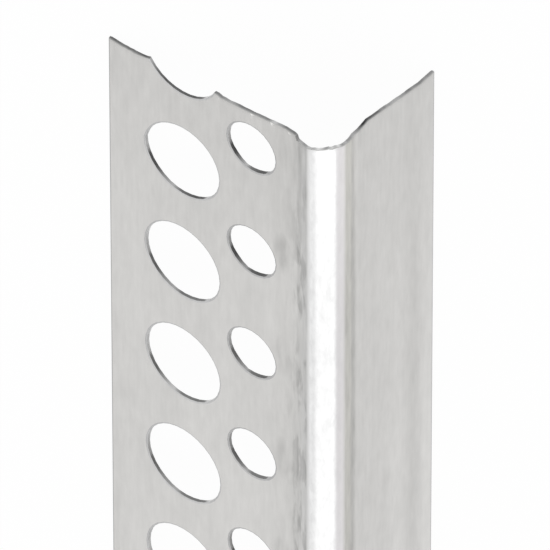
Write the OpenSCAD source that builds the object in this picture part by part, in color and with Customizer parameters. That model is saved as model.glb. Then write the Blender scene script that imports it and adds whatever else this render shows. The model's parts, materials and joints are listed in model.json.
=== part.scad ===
// Corner bead: one strip of thin aluminium sheet, punched along its wide flange and
// roll formed to a right angle with a raised, rounded nose.
// It lies as it rests unheld on a floor: nose up, on its two free edges, with the
// snipped end towards +Y. The origin is the middle of its box, on the floor.

/* [Strip] */
// Length from the tip of the snipped end to the square end
bead_length = 2500; // [200:50:3000]
// Thickness of the sheet
sheet_t = 0.35; // [0.3:0.01:0.6]

/* [Flanges] */
// Width of the punched flange, from the corner where the outer faces would meet
wide_w = 23; // [20.5:0.5:40]
// Width of the plain flange, from the same corner
narrow_w = 13.4; // [8:0.1:22]

/* [Nose] */
// Outside radius of the nose
nose_r = 1.8; // [1:0.1:3]
// Angle at which a shoulder rises out of its flange
shoulder_rise = 13; // [5:1:25]
// Straight stretch of a shoulder, from its bend to the nose
shoulder_run = 1.45; // [0.5:0.05:2.5]
// Radius of the bend between a flange and its shoulder
bend_r = 0.6; // [0.5:0.1:2]

/* [Holes] */
// Diameter of the large holes, which are the row near the free edge
large_d = 7.75; // [4:0.05:9]
// Distance of the large holes' centres from the corner
large_from_corner = 15.3; // [14.5:0.1:16]
// Diameter of the small holes, which are the row near the nose
small_d = 4.95; // [3:0.05:6]
// Distance of the small holes' centres from the corner
small_from_corner = 8; // [7:0.1:9]
// Distance between the centres of neighbouring holes in a row
pitch = 11.66; // [10:0.02:20]
// Distance from the tip of the snipped end to the first whole large hole's centre
first_hole = 10.5; // [8:0.1:16]
// The same for the large hole that the snips opened; below zero is past the tip
opened_hole = -0.6; // [-3:0.1:3]

/* [Snipped end] */
// How far the cut falls back from its tip at the wide flange's free edge
snip_wide_edge = 1.75; // [0:0.05:4]
// How far the cut falls back in the middle of the wide flange
snip_wide_middle = 1.05; // [0:0.05:3]
// How far the cut falls back at the two shoulders
snip_shoulder = 0.7; // [0:0.05:2]
// How far the cut falls back at the narrow flange's free edge
snip_narrow_edge = 1.15; // [0:0.05:4]

/* [Hidden] */
$fn = 96;

// The section is drawn around the corner where the two outer faces would meet.
// The wide flange runs along -X and the narrow one along +Y, and the strip runs
// along -Z from its snipped end. The nose is the same on both sides of the corner's
// bisector, so one half gives the place where a flange's flat part ends.
half_turn = 45 + shoulder_rise;
shoulder_across = nose_r * sin(half_turn) + shoulder_run * cos(half_turn);
bend_across = shoulder_across + bend_r * (sin(half_turn) - sin(45));
flat_from_corner = bend_across / cos(45);
wide_flat = wide_w - flat_from_corner;
narrow_flat = narrow_w - flat_from_corner;

// Both inner edges touch the floor, which sets the slope of the wide flange.
slope = atan((narrow_w - sheet_t) / (wide_w - sheet_t));
corner_height = wide_w * sin(slope) + sheet_t * cos(slope);
corner_x = (wide_w * cos(slope) - narrow_w * sin(slope)) / 2;

// The cut end is planned a little long and then snipped.
snip_allowance = 1;
snip_clear = 2 * wide_w;
last_hole = ceil((bead_length - first_hole) / pitch);

// Hole cutters pass through the sheet by this much on each side.
punch_over = 1;

// A straight run of the sheet, outer face along X and sheet to its left.
// What comes next along the strip starts at its end.
module run(length) {
    square([length, sheet_t]);
    translate([length, 0])
        children();
}

// A sector that covers the angles from 0 to angle, out to the given reach.
module sector(angle, reach) {
    steps = 4;
    polygon(concat([[0, 0]],
        [for (i = [0:steps]) reach * [cos(angle * i / steps), sin(angle * i / steps)]]));
}

// Part of a ring between the two radii.
module ring_part(inner_r, outer_r, angle) {
    intersection() {
        difference() {
            circle(r = outer_r);
            circle(r = inner_r);
        }
        sector(angle, 2 * outer_r);
    }
}

// A bend of the sheet away from its outer face, as at the nose.
module bend_in(outer_r, angle) {
    translate([0, outer_r])
        rotate(-90)
            ring_part(outer_r - sheet_t, outer_r, angle);
    translate([0, outer_r])
        rotate(angle)
            translate([0, -outer_r])
                children();
}

// A bend of the sheet towards its outer face, as where a shoulder rises.
module bend_out(outer_r, angle) {
    translate([0, -outer_r])
        rotate(90 - angle)
            ring_part(outer_r, outer_r + sheet_t, angle);
    translate([0, -outer_r])
        rotate(-angle)
            translate([0, outer_r])
                children();
}

// The whole section, from the wide flange's free edge to the narrow one's.
module section() {
    translate([-wide_w, 0])
        run(wide_flat)
        bend_out(bend_r, shoulder_rise)
        run(shoulder_run)
        bend_in(nose_r, 2 * half_turn)
        run(shoulder_run)
        bend_out(bend_r, shoulder_rise)
        run(narrow_flat);
}

// One punch through the wide flange, at a distance from the tip.
module punch(diameter, from_corner, centre) {
    translate([-from_corner, sheet_t / 2, -centre])
        rotate([90, 0, 0])
            cylinder(d = diameter, h = sheet_t + 2 * punch_over, center = true);
}

// One row of punches, over the whole length.
module punched_row(diameter, from_corner, first_centre) {
    for (i = [0:last_hole])
        punch(diameter, from_corner, first_centre + i * pitch);
}

// What the snips took off the end, seen along the bisector of the corner.
module snipped_off() {
    wide_across = wide_w * cos(45);
    narrow_across = narrow_w * cos(45);
    rotate([0, 0, 45])
        rotate([90, 0, 0])
            linear_extrude(height = snip_clear, center = true)
                polygon([
                    [-wide_across, -snip_wide_edge],
                    [-wide_across / 2, -snip_wide_middle],
                    [-bend_across, -snip_shoulder],
                    [0, 0],
                    [bend_across, -snip_shoulder],
                    [narrow_across, -snip_narrow_edge],
                    [snip_clear, -snip_narrow_edge],
                    [snip_clear, snip_clear],
                    [-snip_clear, snip_clear],
                    [-snip_clear, -snip_wide_edge]
                ]);
}

// Stands the corner up on the floor, nose up, and turns the strip along Y.
module laid_on_floor() {
    translate([corner_x, bead_length / 2, corner_height])
        rotate([-90, 0, 0])
            rotate([0, 0, -slope])
                children();
}

module corner_bead() {
    color([0.80, 0.80, 0.79])
        laid_on_floor()
            difference() {
                translate([0, 0, -bead_length])
                    linear_extrude(height = bead_length + snip_allowance)
                        section();
                punch(large_d, large_from_corner, opened_hole);
                punched_row(large_d, large_from_corner, first_hole);
                punched_row(small_d, small_from_corner, first_hole - pitch / 2);
                snipped_off();
            }
}

corner_bead();
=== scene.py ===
# %% [markdown]
# # A corner bead, from flat blank to studio picture
# A corner bead is a strip of thin aluminium sheet that guards the outer corner of a wall.
# A machine punches two rows of holes into the flat strip and then rolls it to an angle with
# a raised, rounded nose. This lesson goes the same way: it punches a flat mesh, snips its
# end, forms the section, and lays the bead on a pale floor as it would rest, nose up.

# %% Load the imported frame
import json
from math import atan2, cos, degrees, radians, sin

import bmesh
import bpy
from mathutils import Matrix, Vector, noise


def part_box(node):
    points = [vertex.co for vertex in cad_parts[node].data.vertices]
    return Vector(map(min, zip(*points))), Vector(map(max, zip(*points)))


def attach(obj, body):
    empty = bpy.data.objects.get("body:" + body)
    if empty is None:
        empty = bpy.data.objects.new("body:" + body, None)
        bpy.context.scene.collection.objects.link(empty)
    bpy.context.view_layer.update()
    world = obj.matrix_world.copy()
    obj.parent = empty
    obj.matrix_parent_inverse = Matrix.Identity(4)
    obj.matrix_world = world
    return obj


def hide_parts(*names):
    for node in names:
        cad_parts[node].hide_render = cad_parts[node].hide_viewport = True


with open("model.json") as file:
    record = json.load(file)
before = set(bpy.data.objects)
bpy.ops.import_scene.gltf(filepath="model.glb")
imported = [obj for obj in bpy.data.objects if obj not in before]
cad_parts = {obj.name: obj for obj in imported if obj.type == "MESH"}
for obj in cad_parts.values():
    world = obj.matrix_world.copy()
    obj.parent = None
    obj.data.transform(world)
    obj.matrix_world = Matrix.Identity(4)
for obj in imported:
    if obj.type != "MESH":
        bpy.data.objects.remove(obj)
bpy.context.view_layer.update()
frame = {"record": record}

# %% [markdown]
# ## Sizes
# Everything is in metres. The frame already knows the bead's length, the place and radius
# of its holes and the slope that its wide flange lies at, so those are read from it. The
# rest are the section's own sizes, which a drawing of the bead would give.

# %% Sizes that the frame gives
MM = 0.001
mounts = {mount["name"]: mount for mount in frame["record"]["mounts"]}
large_hole = mounts["large_hole_1"]
small_hole = mounts["small_hole_1"]
LARGE_R = large_hole["dims"]["r_mm"] * MM
SMALL_R = small_hole["dims"]["r_mm"] * MM
SHEET = large_hole["dims"]["length_mm"] * MM
bead_low, bead_high = (Vector(corner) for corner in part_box("corner_bead"))
LENGTH = bead_high.y - bead_low.y
HALF_PITCH = small_hole["pos_m"][1] - large_hole["pos_m"][1]
PITCH = 2 * HALF_PITCH
SLOPE = atan2(-large_hole["axis"][0], large_hole["axis"][2])
print(f"{LENGTH:.3f} m long, with holes every {PITCH / MM:.2f} mm")
print(f"The wide flange lies at {degrees(SLOPE):.1f} degrees")

# %% Sizes of the section and its holes
WIDE = 23.0 * MM
NARROW = 13.4 * MM
NOSE_R = 1.8 * MM
SHOULDER_RISE = radians(13)
SHOULDER_RUN = 1.45 * MM
BEND_R = 0.6 * MM
LARGE_FROM_CORNER = 15.3 * MM
SMALL_FROM_CORNER = 8.0 * MM
FIRST_HOLE = 10.5 * MM
OPENED_HOLE = -0.74 * MM
OPENED_SHIFT = -0.12 * MM

# %% [markdown]
# ## The camera
# The photograph looks along the bead from in front of its snipped end and from above,
# through a long lens, and that end is at the top of the picture. So the camera is aimed by
# three turns: its azimuth, away from the bead's own line, its elevation above the floor,
# and its roll about its own line of sight, which puts the picture nearly upside down.

# %% Camera
CAMERA_AZIMUTH = radians(9.72)
CAMERA_ELEVATION = radians(44.09)
CAMERA_ROLL = radians(-166.22)
CAMERA_DISTANCE = 1627.8 * MM
CAMERA_LENS = 1313.2
CAMERA_AIM = Vector((0.24 * MM, LENGTH / 2 - 26.63 * MM, 0))

camera_data = bpy.data.cameras.new("photo_camera")
camera_data.sensor_width = 36.0
camera_data.lens = CAMERA_LENS
camera_data.clip_end = 100.0
camera = bpy.data.objects.new("photo_camera", camera_data)
bpy.context.scene.collection.objects.link(camera)
bpy.context.scene.camera = camera

towards_camera = Vector((
    cos(CAMERA_ELEVATION) * sin(CAMERA_AZIMUTH),
    cos(CAMERA_ELEVATION) * cos(CAMERA_AZIMUTH),
    sin(CAMERA_ELEVATION)))
level_turn = (-towards_camera).to_track_quat("-Z", "Y").to_matrix().to_4x4()
camera.matrix_world = (
    Matrix.Translation(CAMERA_AIM + CAMERA_DISTANCE * towards_camera)
    @ level_turn
    @ Matrix.Rotation(CAMERA_ROLL, 4, "Z"))
print("The camera stands at", [round(value, 3) for value in camera.matrix_world.translation])

# %% [markdown]
# ## Node helpers
# The world, the floor and the metals are all small node trees. Four helpers keep them
# readable: one adds a node with its settings, one joins a number or another node's output
# to a socket, one writes a step of arithmetic, and one carries a value from one span of
# numbers onto another.

# %% Node helpers
def add_node(tree, kind, **settings):
    """Adds a node of one kind and sets its own settings."""
    made = tree.nodes.new(kind)
    for name, value in settings.items():
        setattr(made, name, value)
    return made


def feed(tree, socket, value):
    """Joins another node's output to a socket, or writes a plain value in it."""
    if isinstance(value, bpy.types.NodeSocket):
        tree.links.new(value, socket)
    else:
        socket.default_value = value


def maths(tree, operation, *terms, clamp=False):
    """Adds one step of arithmetic and returns its output."""
    made = add_node(tree, "ShaderNodeMath", operation=operation, use_clamp=clamp)
    for socket, term in zip(made.inputs, terms):
        feed(tree, socket, term)
    return made.outputs[0]


def stretched(tree, value, span, onto):
    """Carries a value from one span of numbers onto another, held at both ends."""
    made = add_node(tree, "ShaderNodeMapRange", clamp=True)
    for name, limit in zip(("From Min", "From Max", "To Min", "To Max"), (*span, *onto)):
        feed(tree, made.inputs[name], limit)
    feed(tree, made.inputs["Value"], value)
    return made.outputs["Result"]


# %% [markdown]
# ## Light and floor
# The bead is bright rolled metal, so what it shows is mostly what stands around it. In the
# photograph that is an even white room with one large soft light over the nose. Here the
# world and the floor are white wherever the camera or a reflection sees them, and plainer
# for matt surfaces, so that a colour would render about as it is written. The soft light
# is a very wide sun, which gives the nose its broad white band together with a painted
# highlight in the nose's own tone.

# %% World
def seen_directly(tree):
    """A mask that is 1 for what the camera, a reflection or clear glass sees."""
    path = add_node(tree, "ShaderNodeLightPath")
    mirrored, clear = path.outputs["Is Glossy Ray"], path.outputs["Is Transmission Ray"]
    shiny = maths(tree, "MAXIMUM", mirrored, clear)
    return maths(tree, "MAXIMUM", path.outputs["Is Camera Ray"], shiny)


WORLD_SEEN = 1.0
WORLD_LIGHT = 0.9

world = bpy.data.worlds.new("white_room")
bpy.context.scene.world = world
world.use_nodes = True
tree = world.node_tree
background = tree.nodes["Background"]
background.inputs["Color"].default_value = (1, 1, 1, 1)
world_strength = stretched(tree, seen_directly(tree), (0, 1), (WORLD_LIGHT, WORLD_SEEN))
tree.links.new(world_strength, background.inputs["Strength"])
print("The world shows", WORLD_SEEN, "and lights matt surfaces with", WORLD_LIGHT)

# %% Soft light
SOFT_LIGHT_TOWARDS = Vector((0.07, -0.71, 0.70))
SOFT_LIGHT_ANGLE = radians(70)
SOFT_LIGHT_ENERGY = 0.35

light_data = bpy.data.lights.new("soft_light", "SUN")
light_data.energy = SOFT_LIGHT_ENERGY
light_data.angle = SOFT_LIGHT_ANGLE
light = bpy.data.objects.new("soft_light", light_data)
light.rotation_euler = SOFT_LIGHT_TOWARDS.to_track_quat("Z", "Y").to_euler()
bpy.context.scene.collection.objects.link(light)
print("The soft light is", round(degrees(SOFT_LIGHT_ANGLE)), "degrees across")

# %% Floor
FLOOR_SIZE = 60.0

floor_mesh = bpy.data.meshes.new("pale_floor")
floor_plan = bmesh.new()
bmesh.ops.create_grid(floor_plan, x_segments=1, y_segments=1, size=FLOOR_SIZE / 2)
floor_plan.to_mesh(floor_mesh)
floor_plan.free()
floor = bpy.data.objects.new("pale_floor", floor_mesh)
bpy.context.scene.collection.objects.link(floor)
print("The floor is", FLOOR_SIZE, "m across")

# %% Finish of the floor
FLOOR_TONE = (0.85, 0.85, 0.85, 1)
FLOOR_GLOW = 0.97

floor_finish = bpy.data.materials.new("pale_floor")
floor_finish.use_nodes = True
tree = floor_finish.node_tree
matt = tree.nodes["Principled BSDF"]
matt.inputs["Base Color"].default_value = FLOOR_TONE
matt.inputs["Roughness"].default_value = 0.9
glow = add_node(tree, "ShaderNodeEmission")
both = add_node(tree, "ShaderNodeMixShader")
feed(tree, both.inputs["Fac"], maths(tree, "MULTIPLY", seen_directly(tree), FLOOR_GLOW))
tree.links.new(matt.outputs["BSDF"], both.inputs[1])
tree.links.new(glow.outputs["Emission"], both.inputs[2])
tree.links.new(both.outputs["Shader"], tree.nodes["Material Output"].inputs["Surface"])
floor_mesh.materials.append(floor_finish)
print("The floor glows by", FLOOR_GLOW, "where it is seen, and keeps the bead's shadow")

# %% [markdown]
# ## The flat blank
# Before it is rolled, the bead is a flat strip. Its width is the length of the section's
# outer face, one stage after another: flat flange, bend, straight shoulder, round nose,
# shoulder, bend, flat flange. The same list of stages serves twice: here it gives the
# blank's width and the lines at which it will bend, and later it forms the section.

# %% Stages of the section
HALF_CORNER = radians(45)
half_turn = HALF_CORNER + SHOULDER_RISE
shoulder_across = NOSE_R * sin(half_turn) + SHOULDER_RUN * cos(half_turn)
bend_across = shoulder_across + BEND_R * (sin(half_turn) - sin(HALF_CORNER))
flat_from_corner = bend_across / cos(HALF_CORNER)
NOSE_STEPS = 16
BEND_STEPS = 2

stages = [
    ("flat", WIDE - flat_from_corner, 0.0, 1),
    ("out", SHOULDER_RISE * BEND_R, BEND_R, BEND_STEPS),
    ("flat", SHOULDER_RUN, 0.0, 1),
    ("in", 2 * half_turn * NOSE_R, NOSE_R, NOSE_STEPS),
    ("flat", SHOULDER_RUN, 0.0, 1),
    ("out", SHOULDER_RISE * BEND_R, BEND_R, BEND_STEPS),
    ("flat", NARROW - flat_from_corner, 0.0, 1),
]
print("The section has", len(stages), "stages")

# %% Lines across the blank
marks = [0.0]
columns = []
for _, length, _, steps in stages:
    columns += [marks[-1] + length * step / steps for step in range(steps)]
    marks.append(marks[-1] + length)
columns = columns[1:]
WIDE_FLAT_END, NARROW_FLAT_START = marks[1], marks[6]
NOSE_START, NOSE_END = marks[3], marks[4]
BLANK = marks[7]
print(f"The blank is {BLANK / MM:.2f} mm wide")
print(f"Its nose runs from {NOSE_START / MM:.2f} to {NOSE_END / MM:.2f} mm across it")

# %% [markdown]
# ## One pitch of the blank
# Over four hundred holes would be slow to cut one by one, but the strip repeats itself
# every pitch. So one pitch is made with care and copied. The flange around a hole is
# filled from a few outline points to the hole's ring with triangle_fill. A punch doesn't
# leave a square edge: it draws the skin down into a rounded lip first, and pushes a burr
# inwards at the bottom of the torn side. So the ring is extruded three times round the lip
# and once down the wall, and the last ring is pulled in by the burr, a share of its radius
# at each angle. Below zero the torn wall leans back instead. The small holes have the
# thickest burrs, and the snips took the burr off the hole that they opened. The plain bands
# along the free edge and over the nose are chains of edges, extruded along the strip.
# In the blank, X is the way across it from the wide flange's free edge, Y runs back
# along it from the tip, downwards, and the inner face lies below the outer one.

# %% Lips and burrs of the punched holes
LIP_WIDTH = 0.15 * MM
LIP_STEPS = [(0.08 * MM, 0.008 * MM), (0.025 * MM, 0.025 * MM), (0.0, 0.06 * MM), (0.0, SHEET)]
SMALL_BURR = [
    (200, 0), (212, 0.018), (225, 0.032), (239, 0.014), (247, -0.020), (259, -0.020), (268, 0.012),
    (285, 0.032), (300, 0.024), (308, 0),
]
LARGE_BURR = [
    (200, 0), (212, -0.003), (225, 0), (239, -0.006), (250, -0.016), (262, -0.012), (285, 0.004),
    (300, 0.004), (308, 0),
]
OPENED_BURR = [(190, 0), (205, -0.022), (235, -0.026), (265, -0.010), (300, 0), (308, 0)]
EDGE_LIP = 0.18 * MM
LARGE_SEGMENTS = 32
SMALL_SEGMENTS = 24
thickest_burr = max(share for _, share in SMALL_BURR) * SMALL_R
print(f"The small holes' burrs are up to {thickest_burr / MM:.2f} mm thick")


# %% Places along a line and round a hole
def read_line(points, at):
    """Reads a line, given as places and values, at one place."""
    for (start, first), (end, last) in zip(points, points[1:]):
        if at <= end:
            share = max(0.0, (at - start) / (end - start))
            return first + (last - first) * share
    return points[-1][1]


def turn_of(arm):
    """The turn from 0 to 1 of an arm, from across the blank round through the tip's side."""
    return atan2(arm.y, arm.x) / radians(360) % 1


# %% Punched bands
def new_rim(grown):
    """Picks the far edges of what an extrusion has just made, and their points."""
    verts = [item for item in grown if isinstance(item, bmesh.types.BMVert)]
    edges = [item for item in grown if isinstance(item, bmesh.types.BMEdge)]
    return [edge for edge in edges if all(vert in verts for vert in edge.verts)], verts


def band_outline(mesh, low, high, depth):
    """Draws the outline of a band one pitch long, with a point halfway up each side."""
    corners = [(low, -HALF_PITCH), (high, -HALF_PITCH), (high, 0)]
    corners += [(high, HALF_PITCH), (low, HALF_PITCH), (low, 0)]
    verts = [mesh.verts.new((x, y, -depth)) for x, y in corners]
    return [mesh.edges.new(pair) for pair in zip(verts, verts[1:] + verts[:1])]


def punched_band(mesh, low, high, centre, radius, segments, burr):
    """Makes a band of the flange, both faces of it, with one punched hole."""
    wide = radius + LIP_WIDTH
    to_centre = Matrix.Translation(centre)
    ring = bmesh.ops.create_circle(mesh, segments=segments, radius=wide, matrix=to_centre)
    rim = list({edge for vert in ring["verts"] for edge in vert.link_edges})
    edges = band_outline(mesh, low, high, 0) + rim
    bmesh.ops.triangle_fill(mesh, use_beauty=True, edges=edges, normal=(0, 0, 1))
    reach, depth = wide, 0.0
    for beyond, below in LIP_STEPS:
        rim, verts = new_rim(bmesh.ops.extrude_edge_only(mesh, edges=rim)["geom"])
        scale = (radius + beyond) / reach
        bmesh.ops.scale(mesh, vec=(scale, scale, 1), space=Matrix.Translation(-centre), verts=verts)
        bmesh.ops.translate(mesh, vec=(0, 0, depth - below), verts=verts)
        reach, depth = radius + beyond, below
    for vert in verts:
        arm = (vert.co - centre) * Vector((1, 1, 0))
        vert.co -= arm * read_line(burr, 360 * turn_of(arm))
    edges = band_outline(mesh, low, high, SHEET) + rim
    bmesh.ops.triangle_fill(mesh, use_beauty=True, edges=edges, normal=(0, 0, -1))


# %% Plain bands
def plain_band(mesh, chain):
    """Runs a chain of points, given as across and depth, one pitch along the strip."""
    verts = [mesh.verts.new((across, HALF_PITCH, -depth)) for across, depth in chain]
    edges = [mesh.edges.new(pair) for pair in zip(verts, verts[1:])]
    for _ in range(2):
        edges, verts = new_rim(bmesh.ops.extrude_edge_only(mesh, edges=edges)["geom"])
        bmesh.ops.translate(mesh, vec=(0, -HALF_PITCH, 0), verts=verts)


# %% Rows and free edges
LARGE_AT = WIDE - LARGE_FROM_CORNER
SMALL_AT = WIDE - SMALL_FROM_CORNER
ROWS_MEET = (LARGE_AT + LARGE_R + SMALL_AT - SMALL_R) / 2
print(f"The two rows meet {ROWS_MEET / MM:.2f} mm from the free edge")


def free_edge(at, inwards):
    """The points round a free edge, as across and depth, from the inner face to the outer one."""
    back, near = at + inwards * EDGE_LIP, at + inwards * EDGE_LIP / 4
    inner_side = [(back, SHEET), (at, SHEET - EDGE_LIP / 4)]
    outer_side = [(at, EDGE_LIP), (near, EDGE_LIP / 4), (back, 0)]
    return inner_side + outer_side


# %% One pitch
def one_pitch(large_x, large_y, large_burr):
    """Makes one pitch of the blank, with its large hole at the given place."""
    cell = bmesh.new()
    large_at = Vector((large_x, large_y, 0))
    punched_band(cell, EDGE_LIP, ROWS_MEET, large_at, LARGE_R, LARGE_SEGMENTS, large_burr)
    small_row = bmesh.new()
    small_at = Vector((SMALL_AT, 0, 0))
    punched_band(small_row, ROWS_MEET, WIDE_FLAT_END, small_at, SMALL_R, SMALL_SEGMENTS, SMALL_BURR)
    bmesh.ops.translate(small_row, vec=(0, HALF_PITCH, 0), verts=small_row.verts)
    small_mesh = bpy.data.meshes.new("small_row")
    small_row.to_mesh(small_mesh)
    cell.from_mesh(small_mesh)
    bpy.data.meshes.remove(small_mesh)
    plain_band(cell, free_edge(0, 1))
    outer = [(across, 0.0) for across in columns]
    inner = [(across, SHEET) for across in columns]
    plain_band(cell, outer + free_edge(BLANK, -1)[::-1] + inner[::-1])
    mesh = bpy.data.meshes.new("one_pitch")
    cell.to_mesh(mesh)
    cell.free()
    return mesh


pitch_mesh = one_pitch(LARGE_AT, 0, LARGE_BURR)
opened_mesh = one_pitch(LARGE_AT + OPENED_SHIFT, FIRST_HOLE - PITCH - OPENED_HOLE, OPENED_BURR)
print(f"One pitch has {len(pitch_mesh.polygons)} faces")

# %% [markdown]
# ## The whole blank
# The pitches are laid end to end, starting with the one whose large hole the snips will
# open. That hole is not quite a pitch ahead of the next, as the photograph shows, so it
# has a mesh of its own. The seams close when points at the same place are merged. The snips
# pushed back the bridge between the opened hole and the next one, most of all towards the
# free edge, so the first whole large hole is flattened a little on the side of the tip.

# %% Lay the pitches end to end
MERGE = 0.002 * MM
SPARE_PITCHES = 3

blank = bmesh.new()
pitches = int((LENGTH - FIRST_HOLE) / PITCH) + SPARE_PITCHES
for k in range(-1, pitches):
    placed = (opened_mesh if k < 0 else pitch_mesh).copy()
    placed.transform(Matrix.Translation((0, -(FIRST_HOLE + k * PITCH), 0)))
    blank.from_mesh(placed)
    bpy.data.meshes.remove(placed)
bmesh.ops.remove_doubles(blank, verts=blank.verts, dist=MERGE)
print(f"{pitches + 1} pitches, {len(blank.faces)} faces")

# %% Push back the bridge
BRIDGE_BACK = 0.34 * MM
BRIDGE_SKEW = 0.25 * MM
BRIDGE_FADE = 4
BRIDGE_REACH = 1 + 1.1 * LIP_WIDTH / LARGE_R

for vert in blank.verts:
    arm = (vert.co.xy - Vector((LARGE_AT, -FIRST_HOLE))) / LARGE_R
    if arm.y > 0 and arm.length < BRIDGE_REACH:
        vert.co.y -= (BRIDGE_BACK - BRIDGE_SKEW * arm.x) * min(1, BRIDGE_FADE * arm.y)
print(f"The bridge was pushed back by {BRIDGE_BACK / MM:.2f} mm")

# %% [markdown]
# ## The snipped end
# The end in the photograph was cut by hand with snips: in bites, leaning a little, with a
# step where two bites meet and a ragged edge. A line says how far the cut has fallen back
# from its tip at each place across the blank. It could be cut with a boolean, but a
# simpler way is to push each column of points forward by as much as the cut falls back
# there, slice everything with one flat plane, and push the points back again. The blank
# needs narrow columns near the end for that, so that each bite keeps its shape.

# %% How far the cut falls back
SNIP_LINE = [
    (0.0, 1.68), (1.3, 1.75), (3.0, 1.68), (4.3, 1.38), (11.4, 0.94), (11.8, 1.07),
    (15.1, 0.76), (17.6, 0.40), (18.5, 0.26), (19.3, 0.38), (19.55, 0.46), (19.7, 0.85),
    (20.8, 0.78), (21.7, 0.34), (22.4, 0.10), (23.1, -0.08), (23.4, 0.02), (23.8, -0.03),
    (24.2, 0.08), (25.3, 0.52), (26.0, 0.66), (27.1, 0.65), (28.1, 0.36), (29.1, 0.46),
    (31.6, 0.82), (34.7, 1.23), (36.5, 1.16),
]
RAGGED = 0.035 * MM
RAGGED_STEP = 0.32 * MM
RAGGED_PLACE = (7.3, 0)
LEAN = 0.09 * MM
LEAN_STEP = 1.1 * MM
LEAN_PLACE = (0, 2.1)


def fall(point):
    """How far the cut lies behind the tip, at a point's place across and in depth."""
    bites = read_line(SNIP_LINE, point.x / MM) * MM
    ragged = RAGGED * noise.noise(Vector((point.x / RAGGED_STEP, *RAGGED_PLACE)))
    lean = LEAN * noise.noise(Vector((point.x / LEAN_STEP, *LEAN_PLACE)))
    return bites + ragged + lean * -point.z / SHEET


furthest_fall = max(back for _, back in SNIP_LINE)
print(f"The cut falls back by up to {furthest_fall:.2f} mm")

# %% Slice and cap
ON_PLANE = 1e-8


def part_of_blank(test):
    """The faces whose points all pass a test of their Y, with their edges and points."""
    faces = [face for face in blank.faces if all(test(vert.co.y) for vert in face.verts)]
    edges = {edge for face in faces for edge in face.edges}
    verts = {vert for face in faces for vert in face.verts}
    return faces + list(edges) + list(verts)


def slice_and_cap(geometry, place, outwards):
    """Slices part of the blank with a plane, drops what is outside and caps the cut."""
    cut = bmesh.ops.bisect_plane(
        blank, geom=geometry, dist=ON_PLANE, plane_co=place, plane_no=outwards, clear_outer=True)
    rim = [item for item in cut["geom_cut"] if isinstance(item, bmesh.types.BMEdge)]
    bmesh.ops.triangle_fill(blank, use_beauty=True, edges=rim, normal=outwards)
    return len(rim)


# %% Snip the end
COLUMN = 0.3 * MM

near_end = part_of_blank(lambda y: y > HALF_PITCH - FIRST_HOLE - MERGE)
places = [step * COLUMN for step in range(1, int(BLANK / COLUMN) + 1)]
places += [across * MM for across, _ in SNIP_LINE[1:-1]]
for across in sorted(places):
    near_end = bmesh.ops.bisect_plane(
        blank, geom=near_end, dist=ON_PLANE, plane_co=(across, 0, 0), plane_no=(1, 0, 0))["geom"]
for vert in blank.verts:
    vert.co.y += fall(vert.co)
rim_length = slice_and_cap(near_end, (0, 0, 0), (0, 1, 0))
for vert in blank.verts:
    vert.co.y -= fall(vert.co)
print(f"The snipped end has {rim_length} edges round it")

# %% [markdown]
# ## The square end
# The far end is out of the photograph. It is cut square, as stock leaves the machine, and
# one flat slice does it.

# %% Saw off the far end
far_end = part_of_blank(lambda y: y < -LENGTH + 2 * PITCH)
rim_length = slice_and_cap(far_end, (0, -LENGTH, 0), (0, -1, 0))
open_edges = [edge for edge in blank.edges if len(edge.link_faces) != 2]
bmesh.ops.recalc_face_normals(blank, faces=blank.faces)
print(f"The square end has {rim_length} edges; open edges in the whole blank: {len(open_edges)}")

# %% [markdown]
# ## Four surfaces and a map of the blank
# The bead shows four surfaces: the rolled skin, the lips that the tools drew down, the
# walls of the holes, and the sheared edges. On the flat blank a face's tilt and place tell
# them apart, so this is the time to name them. The blank's own flat coordinates are kept as
# a UV map, in metres, so that the rolling marks can follow the strip round its bends. Each
# corner of a face keeps its turn round the hole, and each point keeps its depth in the
# sheet and its distance behind the snips' cut, because that is where the burrs are.

# %% Where a face is
FLAT_FACE = 0.999
ON_CUT = 0.001 * MM


def nearest_hole(place):
    """The centre and radius of the hole whose row and pitch a place belongs to."""
    row, first, radius = LARGE_AT, FIRST_HOLE, LARGE_R
    if place.x > ROWS_MEET:
        row, first, radius = SMALL_AT, FIRST_HOLE - HALF_PITCH, SMALL_R
    k = round((-place.y - first) / PITCH)
    if k < 0 and row == LARGE_AT:
        return Vector((LARGE_AT + OPENED_SHIFT, -OPENED_HOLE)), radius
    return Vector((row, -(first + k * PITCH))), radius


def is_plain(face):
    """True for the flat faces of the two flanges, which stay perfectly flat."""
    across = face.calc_center_median().x
    return abs(face.normal.z) > FLAT_FACE and not WIDE_FLAT_END < across < NARROW_FLAT_START


def is_end(face):
    """True for the faces that the snips or the saw left."""
    gaps = [min(abs(vert.co.y + fall(vert.co)), abs(vert.co.y + LENGTH)) for vert in face.verts]
    return max(gaps) < ON_CUT


# %% Which surface a face is
SKIN, LIP, HOLE_WALL, EDGE = 0, 1, 2, 3
STEEP_FACE = 0.45


def surface_of(face, by_hole):
    """Names a face's surface, from its tilt and from whether it is at a hole's rim."""
    tilt = abs(face.normal.z)
    if is_end(face):
        return EDGE
    if tilt > FLAT_FACE:
        return SKIN
    if tilt > STEEP_FACE:
        return LIP
    return HOLE_WALL if by_hole else EDGE


# %% Name the surfaces and keep the map
FREE_EDGE_TURN = 0.50

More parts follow.
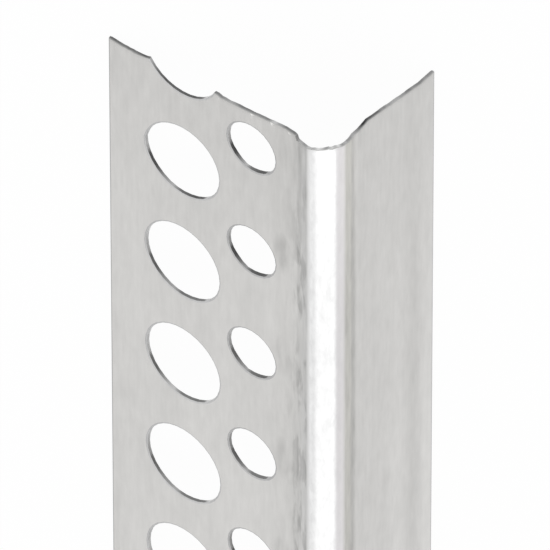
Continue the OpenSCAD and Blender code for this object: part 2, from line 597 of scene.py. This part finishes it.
flat_map = blank.loops.layers.uv.new("blank")
turn_layer = blank.loops.layers.float.new("turn")
cut_layer = blank.verts.layers.float.new("behind_cut")
depth_layer = blank.verts.layers.float.new("depth")
counts = [0, 0, 0, 0]
for face in blank.faces:
    face.normal_update()
    face.smooth = True
    middle = face.calc_center_median().xy
    centre, radius = nearest_hole(middle)
    by_hole = (middle - centre).length < radius + LIP_WIDTH
    face.material_index = surface_of(face, by_hole)
    counts[face.material_index] += 1
    turn = turn_of(middle - centre)
    for loop in face.loops:
        place = loop.vert.co.xy
        loop[flat_map].uv = (place.x, -place.y)
        if by_hole:
            loop[turn_layer] = turn + (turn_of(place - centre) - turn + 0.5) % 1 - 0.5
        else:
            loop[turn_layer] = FREE_EDGE_TURN if middle.x < ROWS_MEET else 0.0
print("Faces of skin, lips, hole walls and edges:", counts)

# %% Keep the sharp edges, the depths and the distances behind the cut
SHARP = radians(40)

for edge in blank.edges:
    first, second = edge.link_faces
    edge.smooth = is_plain(first) == is_plain(second) and edge.calc_face_angle() < SHARP
for vert in blank.verts:
    vert[cut_layer] = -vert.co.y - read_line(SNIP_LINE, vert.co.x / MM) * MM
    vert[depth_layer] = -vert.co.z / SHEET
print(sum(not edge.smooth for edge in blank.edges), "edges are sharp")

# %% [markdown]
# ## Roll forming
# Rolls bend the strip lengthwise, a little more at each stand, until it has its section.
# Here each point is carried along the stages once: straight on through a flat stage and
# round a centre through a bend. Its depth in the sheet is kept square to the outer face.
# The bead is then laid with both inner edges on the floor, its snipped end towards +Y.

# %% Where each point of the blank goes
corner_x = (WIDE * cos(SLOPE) - NARROW * sin(SLOPE)) / 2
corner_z = WIDE * sin(SLOPE) + SHEET * cos(SLOPE)


def formed(across, depth):
    """Where a place on the blank ends up in the section, around the flanges' corner."""
    place = Vector((-WIDE, 0.0))
    heading = 0.0
    left = across
    for kind, length, radius, _ in stages:
        step = min(left, length)
        if kind == "flat":
            place = place + step * Vector((cos(heading), sin(heading)))
        else:
            side = radius if kind == "in" else -radius
            centre = place + side * Vector((-sin(heading), cos(heading)))
            heading += step / side
            place = centre - side * Vector((-sin(heading), cos(heading)))
        left -= step
        if left <= 0:
            break
    return place + depth * Vector((-sin(heading), cos(heading)))


def laid(point):
    """Carries a point of the blank to its place on the floor."""
    section = formed(point.x, -point.z)
    return Vector((
        corner_x + section.x * cos(SLOPE) + section.y * sin(SLOPE),
        LENGTH / 2 + point.y,
        corner_z + section.x * sin(SLOPE) - section.y * cos(SLOPE)))


print(f"The flanges' outer faces would meet {corner_z / MM:.2f} mm above the floor")

# %% Form the section and lay it down
for vert in blank.verts:
    vert.co = laid(vert.co)
bmesh.ops.recalc_face_normals(blank, faces=blank.faces)
bead_mesh = bpy.data.meshes.new("bead_strip")
blank.to_mesh(bead_mesh)
blank.free()
bead = bpy.data.objects.new("bead_strip", bead_mesh)
bpy.context.scene.collection.objects.link(bead)
bead_mesh.calc_loop_triangles()
print(f"The bead has {len(bead_mesh.loop_triangles)} triangles")

# %% [markdown]
# ## Rolling marks
# Sheet that has been through a rolling mill is covered in faint lengthwise streaks, much
# longer than they are wide. The skin and the lips both show them, so they are a node group:
# noise on the blank's flat map, with so many streaks to the millimetre across and so many
# along. It gives a value around zero, ready to lighten and darken. Each kind of mark has its
# own four numbers: streaks per mm across and along, sway in mm, and a place in the noise.

# %% Node group helpers
def new_group(name, inputs, output):
    """Starts a node group with named numbers going in and one value coming out."""
    group = bpy.data.node_groups.new(name, "ShaderNodeTree")
    for socket in inputs:
        group.interface.new_socket(socket, in_out="INPUT", socket_type="NodeSocketFloat")
    group.interface.new_socket(output, in_out="OUTPUT", socket_type="NodeSocketFloat")
    return group, add_node(group, "NodeGroupInput"), add_node(group, "NodeGroupOutput")


def place_group(tree, group, numbers):
    """Places a group in a material with its own numbers and returns its output."""
    made = add_node(tree, "ShaderNodeGroup", node_tree=group)
    for socket, number in zip(made.inputs, numbers):
        socket.default_value = number
    return made.outputs[0]


def blank_axis(tree, axis):
    """The place across (X) or along (Y) the blank, in metres."""
    flat = add_node(tree, "ShaderNodeUVMap", uv_map="blank")
    split = add_node(tree, "ShaderNodeSeparateXYZ")
    tree.links.new(flat.outputs["UV"], split.inputs["Vector"])
    return split.outputs[axis]


# %% Streak group
SWAYS_APART = 17.0


def streak_group():
    """Builds the group that gives lengthwise streaks on the blank's flat map."""
    inputs = ("Per mm Across", "Per mm Along", "Sway in mm", "Place")
    group, inside, outside = new_group("rolled_streaks", inputs, "Streak")
    across = maths(group, "MULTIPLY", blank_axis(group, "X"), 1 / MM)
    along = maths(group, "MULTIPLY", blank_axis(group, "Y"), 1 / MM)
    bends = add_node(group, "ShaderNodeTexNoise", noise_dimensions="1D")
    bends.inputs["Scale"].default_value = 0.35
    bends.inputs["Detail"].default_value = 1.0
    own_sway = maths(group, "MULTIPLY_ADD", inside.outputs["Place"], SWAYS_APART, along)
    feed(group, bends.inputs["W"], own_sway)
    swing = maths(group, "SUBTRACT", bends.outputs["Fac"], 0.5)
    across = maths(group, "MULTIPLY_ADD", swing, inside.outputs["Sway in mm"], across)
    across = maths(group, "MULTIPLY", across, inside.outputs["Per mm Across"])
    along = maths(group, "MULTIPLY", along, inside.outputs["Per mm Along"])
    place = add_node(group, "ShaderNodeCombineXYZ")
    feed(group, place.inputs["X"], across)
    feed(group, place.inputs["Y"], along)
    feed(group, place.inputs["Z"], inside.outputs["Place"])
    field = add_node(group, "ShaderNodeTexNoise", noise_dimensions="3D")
    field.inputs["Scale"].default_value = 1.0
    field.inputs["Detail"].default_value = 3.0
    field.inputs["Roughness"].default_value = 0.55
    group.links.new(place.outputs["Vector"], field.inputs["Vector"])
    centred = maths(group, "SUBTRACT", field.outputs["Fac"], 0.5)
    group.links.new(centred, outside.inputs["Streak"])
    return group


STREAKS = streak_group()
print("The streak group has", len(STREAKS.nodes), "nodes")

# %% Kinds of streaks
FINE = (3.0, 0.40, 0.2, 1.7)
SOFT = (1.1, 0.45, 0.2, 5.1)
CLOUDY = (0.35, 0.05, 0.4, 7.7)
UNBROKEN = (2.4, 0.004, 0.0, 9.4)
DRAGS = (1.5, 0.03, 0.5, 8.2)
FLECKS = (1.1, 0.25, 0.6, 4.8)
UNEVEN = (0.9, 0.2, 0.4, 21.1)
BRIGHT_BURRS = (1.5, 1.8, 0.0, 6.3)
SPECKS = (2.6, 0.9, 0.0, 5.5)
SHEEN = (3.0, 0.3, 0.2, 1.7)
GROOVES = (4.0, 0.15, 0.3, 3.3)
print("The finest streaks, the rolls' grooves, are", GROOVES[0], "to the millimetre")


def streaks(tree, kind):
    """Places the streak group in a material, with the numbers of one kind."""
    return place_group(tree, STREAKS, kind)


# %% [markdown]
# ## The rolled skin
# The forming rolls rub each part of the section differently, and the skin's tone also
# carries painted light. The flanges keep the mill's even satin. The nose is partly
# burnished and partly painted brighter, a painted highlight that joins the soft light's
# band, with a painted reflection in a lighter band on its far side. The shoulders beside
# it and the bends at their feet are painted darker, a painted shade that is darkest along
# the line where they leave the flange, and the rolls streak them as well. So the skin's
# tone is a ramp across the blank, with its stops at the section's own bends. Marks come
# and go between two levels of that tone: the rolls' drags are only where it is low, and
# the specks only where it is high.

# %% Tones of the section
# The flanges keep their own colour. The darker tones in the bends and on the shoulders are painted
# shade, warm on the narrow side. The nose's bright tones are partly burnished metal and partly a
# painted highlight, and the dip and back on its far side are a painted reflection.
FLANGE = (0.612, 0.605, 0.592)
PRE_BEND_SHADE = (0.590, 0.583, 0.570)
ROOT_EDGE_SHADE = (0.540, 0.534, 0.522)
ROOT = (0.486, 0.481, 0.471)
SHOULDER = (0.510, 0.507, 0.500)
NOSE_SIDE_HIGHLIGHT = (0.800, 0.800, 0.800)
NOSE = (0.775, 0.775, 0.775)
NOSE_FAR_SIDE_HIGHLIGHT = (0.850, 0.850, 0.850)
NOSE_DIP_REFLECTION = (0.712, 0.694, 0.704)
NOSE_BACK_REFLECTION = (0.731, 0.713, 0.720)
WARM_SHOULDER_SHADE = (0.507, 0.499, 0.469)
WARM_ROOT_SHADE = (0.425, 0.418, 0.404)
NARROW_FLANGE = (0.612, 0.605, 0.592)

TONES = [
    (WIDE_FLAT_END - 3.0 * MM, FLANGE),
    (WIDE_FLAT_END - 1.0 * MM, PRE_BEND_SHADE),
    (WIDE_FLAT_END - 0.6 * MM, PRE_BEND_SHADE),
    (WIDE_FLAT_END - 0.2 * MM, ROOT_EDGE_SHADE),
    (WIDE_FLAT_END, ROOT_EDGE_SHADE),
    (WIDE_FLAT_END + 0.35 * MM, ROOT),
    (WIDE_FLAT_END + 0.6 * MM, ROOT),
    (NOSE_START - 0.7 * MM, SHOULDER),
    (NOSE_START - 0.25 * MM, SHOULDER),
    (NOSE_START + 0.25 * MM, NOSE_SIDE_HIGHLIGHT),
    (NOSE_START + 0.5 * MM, NOSE_SIDE_HIGHLIGHT),
    (NOSE_START + 0.8 * MM, NOSE),
    (NOSE_END - 1.6 * MM, NOSE),
    (NOSE_END - 1.4 * MM, NOSE_FAR_SIDE_HIGHLIGHT),
    (NOSE_END - 1.24 * MM, NOSE_FAR_SIDE_HIGHLIGHT),
    (NOSE_END - 1.0 * MM, NOSE_DIP_REFLECTION),
    (NOSE_END - 0.75 * MM, NOSE_BACK_REFLECTION),
    (NOSE_END - 0.45 * MM, NOSE_BACK_REFLECTION),
    (NOSE_END + 0.05 * MM, WARM_SHOULDER_SHADE),
    (NARROW_FLAT_START - 0.75 * MM, WARM_SHOULDER_SHADE),
    (NARROW_FLAT_START - 0.45 * MM, WARM_ROOT_SHADE),
    (NARROW_FLAT_START - 0.2 * MM, WARM_ROOT_SHADE),
    (NARROW_FLAT_START + 0.25 * MM, NARROW_FLANGE),
]
print(len(TONES), "tones across the blank")


# %% Ramps of tones
def tone_ramp(tree, value, tones):
    """A ramp of tones, each a grey or a colour, at places between 0 and 1."""
    ramp = add_node(tree, "ShaderNodeValToRGB")
    stops = ramp.color_ramp.elements
    while len(stops) < len(tones):
        stops.new(1.0)
    for stop, (position, tone) in zip(stops, tones):
        stop.position = position
        stop.color = (*tone, 1) if isinstance(tone, tuple) else (tone, tone, tone, 1)
    feed(tree, ramp.inputs["Fac"], value)
    return ramp.outputs["Color"]


def tone_across(tree, tones):
    """A ramp of tones whose places are distances across the blank."""
    share = maths(tree, "DIVIDE", blank_axis(tree, "X"), BLANK)
    return tone_ramp(tree, share, [(across / BLANK, tone) for across, tone in tones])


# %% [markdown]
# ## Dull marks beside the small holes
# The small holes are close to the bend. When the rolls make that bend, the narrow bridge
# of metal between a hole and the bend gives way a little and is rubbed dull. So there is a
# small mark beside every small hole. The mark is an oval on the flat map, and the map's
# coordinate along the strip is wrapped at every pitch so that one oval serves them all.
# The skin and the small holes' lips both go dull there, so this is a node group as well.

# %% Dull marks group
MARK_ACROSS = WIDE_FLAT_END - 1.45 * MM
MARK_ALONG = FIRST_HOLE - HALF_PITCH - 1.7 * MM
MARK_HALF_WIDTH = 1.1 * MM
MARK_HALF_LENGTH = 2.5 * MM
MARK_FADE = (0.2, 1.0)
FAINT_UNTIL = (4 * MM, 12 * MM)
FAINT_SHARE = 0.3


def away_from_cut(tree):
    """A factor that makes the rolls' marks faint near the cut, where the section sprang open."""
    return stretched(tree, blank_axis(tree, "Y"), FAINT_UNTIL, (FAINT_SHARE, 1.0))


def dull_marks_group():
    """Builds the group that is strongest in the middle of each mark and fades round it."""
    group, inside, outside = new_group("dull_marks", ("Strength",), "Mark")
    along = maths(group, "SUBTRACT", blank_axis(group, "Y"), MARK_ALONG)
    along = maths(group, "WRAP", along, HALF_PITCH, -HALF_PITCH)
    along = maths(group, "DIVIDE", along, MARK_HALF_LENGTH)
    across = maths(group, "SUBTRACT", blank_axis(group, "X"), MARK_ACROSS)
    across = maths(group, "DIVIDE", across, MARK_HALF_WIDTH)
    squares = maths(group, "MULTIPLY_ADD", along, along, maths(group, "MULTIPLY", across, across))
    ovals = stretched(group, squares, MARK_FADE, (1.0, 0.0))
    marks_here = maths(group, "MULTIPLY", ovals, away_from_cut(group))
    mark = maths(group, "MULTIPLY", marks_here, inside.outputs["Strength"])
    group.links.new(mark, outside.inputs["Mark"])
    return group


DULL_MARKS = dull_marks_group()
print("The group of dull marks has", len(DULL_MARKS.nodes), "nodes")

# %% [markdown]
# ## Marks on the skin
# More marks go over the tone. The mill left even streaks and soft patches on the whole
# sheet. The forming rolls dragged the shoulders: long dark lines and short flecks, most of
# them on the wide side. The guides rubbed the narrow flange in bands that get stronger away
# from the snipped end. Near that end the nose and right shoulder are painted lighter, a
# painted highlight where the section sprang open as it was cut. And the bright nose has
# fine specks.

# %% Marks of the mill
MILL_MARKS = [(FINE, 0.14), (SOFT, 0.15), (CLOUDY, 0.16), (UNBROKEN, 0.05)]
NEAR_CUT = (0, 22 * MM)
NEAR_DULL = -0.045


def sum_of(tree, terms):
    """Adds several values together."""
    total = terms[0]
    for term in terms[1:]:
        total = maths(tree, "ADD", total, term)
    return total


def mill_marks(tree):
    """Streaks and soft patches of the whole sheet, a little duller towards the snipped end."""
    terms = [maths(tree, "MULTIPLY", streaks(tree, kind), share) for kind, share in MILL_MARKS]
    return sum_of(tree, terms + [stretched(tree, blank_axis(tree, "Y"), NEAR_CUT, (NEAR_DULL, 0))])


# %% Marks of the forming rolls
COARSE_SHARE = 0.24
DRAG_SHARE = 0.75
FLECK_LEVELS = (0.0, 0.12)
FLECK_TONES = (0.07, -0.26)
FAR_SIDE_SHARE = 0.3
UNEVEN_LEVELS = (-0.12, 0.12)
UNEVEN_TONES = (-0.03, -0.16)


def drag_marks(tree):
    """Coarse streaks on both shoulders, with drags and flecks mostly on the wide side."""
    coarse = maths(tree, "MULTIPLY", streaks(tree, FINE), COARSE_SHARE)
    drags = maths(tree, "MULTIPLY", streaks(tree, DRAGS), DRAG_SHARE)
    flecks = stretched(tree, streaks(tree, FLECKS), FLECK_LEVELS, FLECK_TONES)
    over_nose = (NOSE_START, NOSE_END)
    wide_side = stretched(tree, blank_axis(tree, "X"), over_nose, (1.0, FAR_SIDE_SHARE))
    strength = maths(tree, "MULTIPLY", wide_side, away_from_cut(tree))
    return maths(tree, "MULTIPLY_ADD", maths(tree, "ADD", drags, flecks), strength, coarse)


def hole_marks(tree):
    """The dull marks beside the small holes, each of them a little different."""
    uneven = stretched(tree, streaks(tree, UNEVEN), UNEVEN_LEVELS, UNEVEN_TONES)
    return maths(tree, "MULTIPLY", uneven, place_group(tree, DULL_MARKS, [1.0]))


# %% Painted highlight near the cut, and marks on the narrow flange
HIGHLIGHT_LEFT = (NOSE_START - 0.3 * MM, NOSE_START)
HIGHLIGHT_RIGHT = (NARROW_FLAT_START, NARROW_FLAT_START + 0.4 * MM)
HIGHLIGHT_UNTIL = (3 * MM, 20 * MM)
PAINTED_HIGHLIGHT_TONES = (0.17, -0.02)
RUBBED_FROM = (4 * MM, 42 * MM)
RUBBED_SHARES = (0.02, 0.28)
RUBS = [
    (NARROW_FLAT_START + 0.6 * MM, 0.54), (NARROW_FLAT_START + 2.4 * MM, 0.44),
    (NARROW_FLAT_START + 3.6 * MM, 0.46), (NARROW_FLAT_START + 5.3 * MM, 0.70),
    (NARROW_FLAT_START + 6.1 * MM, 0.66), (NARROW_FLAT_START + 7.4 * MM, 0.28),
    (NARROW_FLAT_START + 7.8 * MM, 0.28), (NARROW_FLAT_START + 9.0 * MM, 0.80),
]


def painted_highlight_near_cut(tree):
    """Paints a highlight on the nose and its right shoulder near the cut, where it springs open."""
    across = blank_axis(tree, "X")
    from_left = stretched(tree, across, HIGHLIGHT_LEFT, (0, 1))
    from_right = stretched(tree, across, HIGHLIGHT_RIGHT, (1, 0))
    strength = stretched(tree, blank_axis(tree, "Y"), HIGHLIGHT_UNTIL, PAINTED_HIGHLIGHT_TONES)
    return maths(tree, "MULTIPLY", maths(tree, "MULTIPLY", from_left, from_right), strength)


def rubbed_bands(tree):
    """Bands along the narrow flange, stronger away from the cut."""
    bands = maths(tree, "SUBTRACT", tone_across(tree, RUBS), 0.5)
    strength = stretched(tree, blank_axis(tree, "Y"), RUBBED_FROM, RUBBED_SHARES)
    return maths(tree, "MULTIPLY", bands, strength)


print(len(RUBS), "tones make the rubbed bands")


# %% Metal helpers
def scaled_colour(tree, colour, factor):
    """Lightens or darkens a colour by a factor that may change over the surface."""
    made = add_node(tree, "ShaderNodeVectorMath", operation="SCALE")
    feed(tree, made.inputs[0], colour)
    feed(tree, made.inputs["Scale"], factor)
    return made.outputs["Vector"]


def attribute(tree, name):
    """A value that the mesh keeps for each of its points or corners."""
    return add_node(tree, "ShaderNodeAttribute", attribute_name=name).outputs["Fac"]


def new_metal(name, roughness):
    """A plain metal, ready for its colour and its marks."""
    material = bpy.data.materials.new(name)
    material.use_nodes = True
    metal = material.node_tree.nodes["Principled BSDF"]
    metal.inputs["Metallic"].default_value = 1.0
    metal.inputs["Roughness"].default_value = roughness
    return material, material.node_tree, metal


def add_surface(material):
    """Gives the bead one more surface and says how many nodes it took."""
    bead_mesh.materials.append(material)
    print(material.name, "has", len(material.node_tree.nodes), "nodes")


# %% Marks of the snips
ROLLED_OVER = (0.02 * MM, 0.35 * MM)
ROLLED_OVER_TONE = 0.92
BURRS_UNTIL = (0.15 * MM, 0.7 * MM)
BURRS_ACROSS = (19 * MM, 21 * MM)
BURR_LEVELS = (0.12, 0.18)
BURR_LIGHT = 0.5


def snipped_skin(tree, factor):
    """Dulls the skin where the snips rolled it over and adds a few bright burrs behind the cut."""
    behind = attribute(tree, "behind_cut")
    rolled_over = stretched(tree, behind, ROLLED_OVER, (ROLLED_OVER_TONE, 1.0))
    close = stretched(tree, behind, BURRS_UNTIL, (1.0, 0.0))
    on_wide_flange = stretched(tree, blank_axis(tree, "X"), BURRS_ACROSS, (1, 0))
    burrs = stretched(tree, streaks(tree, BRIGHT_BURRS), BURR_LEVELS, (0.0, BURR_LIGHT))
    burrs = maths(tree, "MULTIPLY", burrs, maths(tree, "MULTIPLY", close, on_wide_flange))
    return maths(tree, "MULTIPLY_ADD", factor, rolled_over, burrs)


# %% Skin
DRAGGED_LEVELS = (0.48, 0.60)
CALM_LEVELS = (0.62, 0.75)
CALM_SHARE = 0.5
BRIGHT_NOSE_LEVELS = (0.68, 0.80)
SPECK_SHARE = 0.40
SHEEN_LEVELS = (-0.2, 0.2)
SKIN_ROUGHNESS = (0.36, 0.28)


def rolled_skin():
    """The skin: the section's tones, with painted shade and highlight, and every mark on them."""
    material, tree, metal = new_metal("rolled_skin", sum(SKIN_ROUGHNESS) / 2)
    tone = tone_across(tree, TONES)
    grey = add_node(tree, "ShaderNodeRGBToBW")
    tree.links.new(tone, grey.inputs["Color"])
    level = grey.outputs["Val"]
    low_tone = stretched(tree, level, DRAGGED_LEVELS, (1.0, 0.0))
    dragged = maths(tree, "MULTIPLY", drag_marks(tree), low_tone)
    parts = [mill_marks(tree), dragged, painted_highlight_near_cut(tree), rubbed_bands(tree), hole_marks(tree)]
    calm = stretched(tree, level, CALM_LEVELS, (1.0, CALM_SHARE))
    marks_here = maths(tree, "MULTIPLY", sum_of(tree, parts), calm)
    # The specks go only where the tone is high: on the nose, whose brightness is partly a painted
    # highlight.
    on_bright_nose = stretched(tree, level, BRIGHT_NOSE_LEVELS, (0, SPECK_SHARE))
    specks = maths(tree, "MULTIPLY", streaks(tree, SPECKS), on_bright_nose)
    factor = snipped_skin(tree, sum_of(tree, [1.0, marks_here, specks]))
    tree.links.new(scaled_colour(tree, tone, factor), metal.inputs["Base Color"])
    sheen = stretched(tree, streaks(tree, SHEEN), SHEEN_LEVELS, SKIN_ROUGHNESS)
    feed(tree, metal.inputs["Roughness"], sheen)
    bump = add_node(tree, "ShaderNodeBump")
    bump.inputs["Strength"].default_value = 0.4
    bump.inputs["Distance"].default_value = 0.005 * MM
    feed(tree, bump.inputs["Height"], streaks(tree, GROOVES))
    tree.links.new(bump.outputs["Normal"], metal.inputs["Normal"])
    return material


add_surface(rolled_skin())

# %% [markdown]
# ## Lips and hole walls
# A punch first draws the skin down and then cuts. The lip that it leaves is duller than
# the flange round it. The wall below is partly smooth and partly torn and dark. Both also
# carry painted shade, lighter and darker by the way each part of the lip and wall faces,
# the same at every hole, with the lip darkest on the side towards the free edge. Both
# finishes are ramps round the hole, read from the turn that each face keeps. Away from
# the snipped end the walls are smeared to a lighter, evener grey. The hole that the snips
# opened was bent as they passed, and its wall is torn all the way down.

# %% Tones round a hole
# Both ramps are partly the metal's own finish and partly painted shade: lighter and darker by the
# way each part of the lip and wall faces, the same at every hole.
LIP_TONES = [
    (0, 0.50), (100, 0.49), (140, 0.45), (165, 0.43), (180, 0.42), (195, 0.45), (212, 0.54),
    (225, 0.57), (308, 0.56), (320, 0.51),
]
WALL_TONES = [
    (0, 0.50), (150, 0.52), (189, 0.52), (198, 0.43), (205, 0.12), (222, 0.10), (240, 0.30),
    (254, 0.44), (266, 0.17), (290, 0.13), (304, 0.15), (309, 0.56),
]
OPENED_TONES = [
    (0, 0.60), (150, 0.62), (195, 0.52), (212, 0.42), (222, 0.29), (232, 0.17), (245, 0.12),
    (290, 0.12), (300, 0.15), (306, 0.22), (311, 0.60),
]
ROWS_BORDER = (ROWS_MEET, ROWS_MEET + 0.1 * MM)


def tone_round(tree, tones):
    """A ramp of tones whose places are degrees round a hole."""
    return tone_ramp(tree, attribute(tree, "turn"), [(angle / 360, tone) for angle, tone in tones])


def row_factor(tree, for_large, for_small):
    """One value on the row of large holes and another on the row of small ones."""
    return stretched(tree, blank_axis(tree, "X"), ROWS_BORDER, (for_large, for_small))


darkest = min(tone for _, tone in WALL_TONES)
print("The torn walls go down to a tone of", darkest)

# %% Lips
SMALL_LIP = 0.89
MARK_ON_LIP = -0.14
STREAKS_ON_LIP = 0.3


def drawn_lip():
    """The lip of a hole or of the strip's free edge, with painted shade round the hole."""
    material, tree, metal = new_metal("drawn_lip", 0.40)
    mark = place_group(tree, DULL_MARKS, [MARK_ON_LIP])
    dulled = maths(tree, "ADD", mark, row_factor(tree, 1.0, SMALL_LIP))
    streaked = maths(tree, "MULTIPLY_ADD", streaks(tree, FINE), STREAKS_ON_LIP, dulled)
    colour = scaled_colour(tree, tone_round(tree, LIP_TONES), streaked)
    tree.links.new(colour, metal.inputs["Base Color"])
    return material


add_surface(drawn_lip())

# %% [markdown]
# ## Torn patches
# Where metal is sheared, part of it is smeared smooth by the blade and part is torn off in
# grains. The hole walls and the snipped edge both show that, the walls in larger patches.
# So the patches are the third node group: noise in space, turned into a factor between two
# limits that each material gives.

# %% Patches group
PATCH_DETAIL = 3.0
PATCH_LEVELS = (0.35, 0.65)


def patches_group():
    """Builds the group that gives patches of smeared and torn metal, as a factor."""
    group, inside, outside = new_group("torn_patches", ("Per mm", "Least", "Most"), "Factor")
    place = add_node(group, "ShaderNodeTexCoord")
    field = add_node(group, "ShaderNodeTexNoise")
    field.inputs["Detail"].default_value = PATCH_DETAIL
    group.links.new(place.outputs["Object"], field.inputs["Vector"])
    feed(group, field.inputs["Scale"], maths(group, "MULTIPLY", inside.outputs["Per mm"], 1 / MM))
    limits = (inside.outputs["Least"], inside.outputs["Most"])
    factor = stretched(group, field.outputs["Fac"], PATCH_LEVELS, limits)
    group.links.new(factor, outside.inputs["Factor"])
    return group


PATCHES = patches_group()
print("The group of torn patches has", len(PATCHES.nodes), "nodes")

# %% Hole walls
WALL_PATCHES = (0.3, 0.8, 1.3)
LARGE_LIFT = 1.05
SMEARED = (0.62, 0.62, 0.61, 1)
SMEARED_FROM = (12 * MM, 45 * MM)
SMEARED_SHARE = 0.17
OPENED_UNTIL = (4 * MM, 4.5 * MM)


def mixed(tree, share, first, second):
    """Mixes two colours, by a share that may change over the surface."""
    made = add_node(tree, "ShaderNodeMix", data_type="RGBA")
    factor, start, end = [socket for socket in made.inputs if socket.enabled]
    feed(tree, factor, share)
    feed(tree, start, first)
    feed(tree, end, second)
    return next(socket for socket in made.outputs if socket.enabled)


def hole_wall():
    """The wall that the punch left, smooth and torn, with painted shade by the way it faces."""
    material, tree, metal = new_metal("hole_wall", 0.5)
    at_tip = stretched(tree, blank_axis(tree, "Y"), OPENED_UNTIL, (1, 0))
    opened = maths(tree, "MULTIPLY", row_factor(tree, 1, 0), at_tip)
    torn_and_shaded = scaled_colour(tree, tone_round(tree, WALL_TONES), row_factor(tree, LARGE_LIFT, 1.0))
    smeared = stretched(tree, blank_axis(tree, "Y"), SMEARED_FROM, (0.0, SMEARED_SHARE))
    torn_and_shaded = mixed(tree, smeared, torn_and_shaded, SMEARED)
    torn_and_shaded = mixed(tree, opened, torn_and_shaded, tone_round(tree, OPENED_TONES))
    colour = scaled_colour(tree, torn_and_shaded, place_group(tree, PATCHES, WALL_PATCHES))
    tree.links.new(colour, metal.inputs["Base Color"])
    return material


add_surface(hole_wall())

# %% [markdown]
# ## The sheared edge
# Each bite of the snips leaves its own sheen on the end of the sheet. The bites through
# the flanges are grey, the one into the foot of the right shoulder tore deep and is nearly
# black, and over the nose the blades pressed the metal smooth and bright. The free edges
# were slit and the far end was sawn, so away from the snips the edge is an even grey.

# %% Tones of the bites
BITES = [
    (0.0, 0.17), (4.5, 0.17), (11.4, 0.21), (12.6, 0.38), (14.6, 0.26), (16.6, 0.26),
    (17.3, 0.55), (18.0, 0.50), (18.4, 0.25), (19.4, 0.20), (19.7, 0.36), (20.6, 0.50),
    (21.1, 0.85), (21.6, 0.60), (22.2, 0.90), (22.9, 0.42), (23.3, 0.70), (23.7, 0.40),
    (24.1, 0.70), (24.6, 0.45), (25.1, 0.50), (25.6, 0.28), (26.2, 0.38), (27.2, 0.18),
    (27.7, 0.02), (28.3, 0.11), (29.3, 0.17), (30.3, 0.36), (33.0, 0.38), (34.0, 0.25),
    (34.8, 0.28),
]
print(len(BITES), "tones along the snipped edge")

# %% Sheared edge
EDGE_PATCHES = (0.9, 0.75, 1.3)
PRESSED = (0.54, 0.54, 0.53, 1)
PRESSED_DEPTHS = (0.0, 0.5)
SLIT = (0.50, 0.50, 0.49, 1)
SLIT_FROM = (0.3 * MM, 0.6 * MM)


def sheared_edge():
    """The ends and the free edges of the sheet."""
    material, tree, metal = new_metal("sheared_edge", 0.5)
    tones = tone_across(tree, [(across * MM, tone) for across, tone in BITES])
    pressed = stretched(tree, attribute(tree, "depth"), PRESSED_DEPTHS, (1.0, 0.0))
    patchy = scaled_colour(tree, tones, place_group(tree, PATCHES, EDGE_PATCHES))
    colour = mixed(tree, pressed, patchy, PRESSED)
    away = stretched(tree, attribute(tree, "behind_cut"), SLIT_FROM, (0.0, 1.0))
    colour = mixed(tree, away, colour, SLIT)
    tree.links.new(colour, metal.inputs["Base Color"])
    return material


add_surface(sheared_edge())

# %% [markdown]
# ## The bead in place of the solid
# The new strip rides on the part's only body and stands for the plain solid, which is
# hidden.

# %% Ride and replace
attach(bead, "root")
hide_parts("corner_bead")
bpy.context.scene.view_settings.view_transform = "Standard"
print("The bead's surfaces:", [surface.name for surface in bead_mesh.materials])
